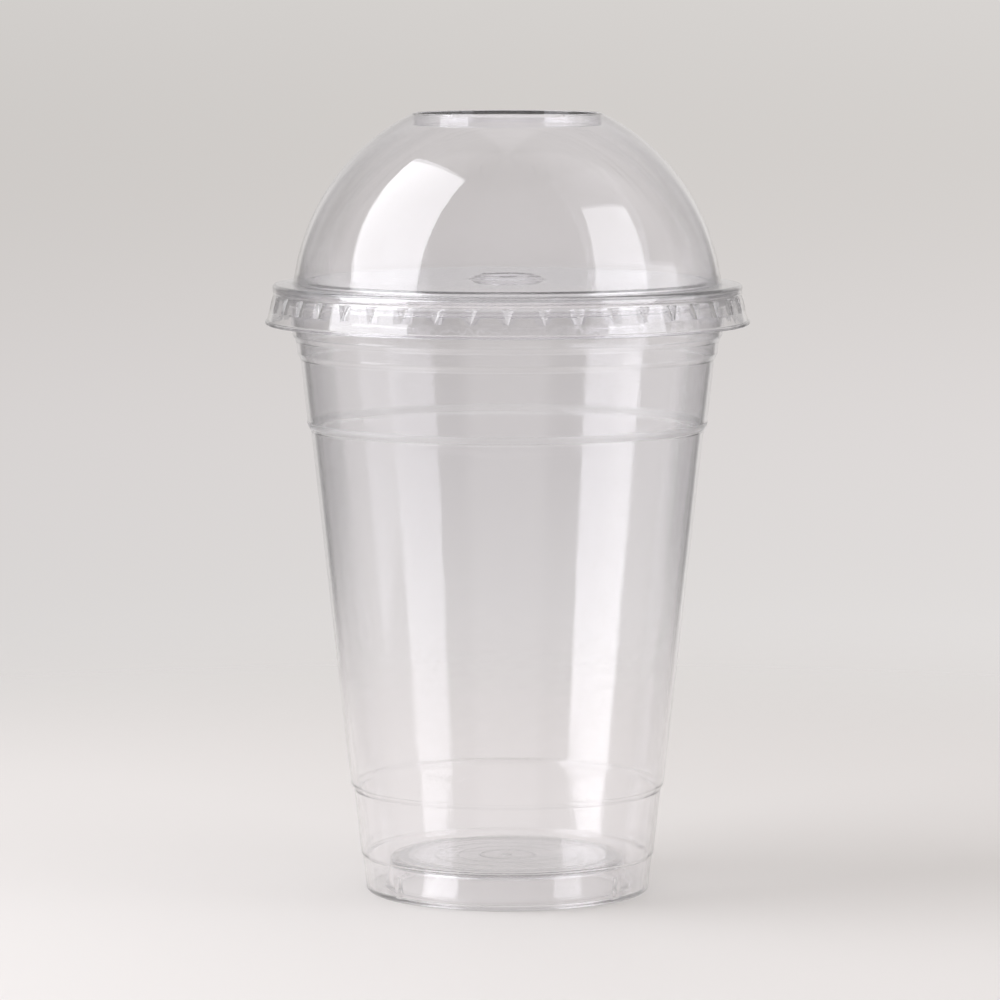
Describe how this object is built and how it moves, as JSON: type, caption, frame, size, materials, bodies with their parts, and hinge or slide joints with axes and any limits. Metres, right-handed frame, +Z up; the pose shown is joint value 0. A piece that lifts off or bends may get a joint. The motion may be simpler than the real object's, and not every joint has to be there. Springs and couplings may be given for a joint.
{
  "type": "plastic cup with lid",
  "caption": "Clear tapered drinking cup with a rolled rim and raised floor, a flat inner disc with a ringed straw hole, and a lift-off open-top dome lid.",
  "frame": {"origin": "centre of the foot, on the surface that the cup stands on", "axes": "+Z up along the axis of the cup and lid; the foot's rib pairs face -Y and +Y"},
  "size_m": [0.1034, 0.1034, 0.1667],
  "materials": {
    "cup_plastic": "clear, glossy thermoformed plastic",
    "disc_plastic": "clear, glossy thermoformed plastic",
    "lid_plastic": "clear, glossy thermoformed plastic"
  },
  "bodies": {
    "cup": {"cup": "cup_plastic", "inner_disc": "disc_plastic"},
    "lid": {"dome_lid": "lid_plastic"}
  },
  "joints": [
    {"name": "lid_lift", "type": "slide", "parent": "cup", "child": "lid", "axis": [0, 0, 1], "range_m": [0, 0.06]}
  ]
}
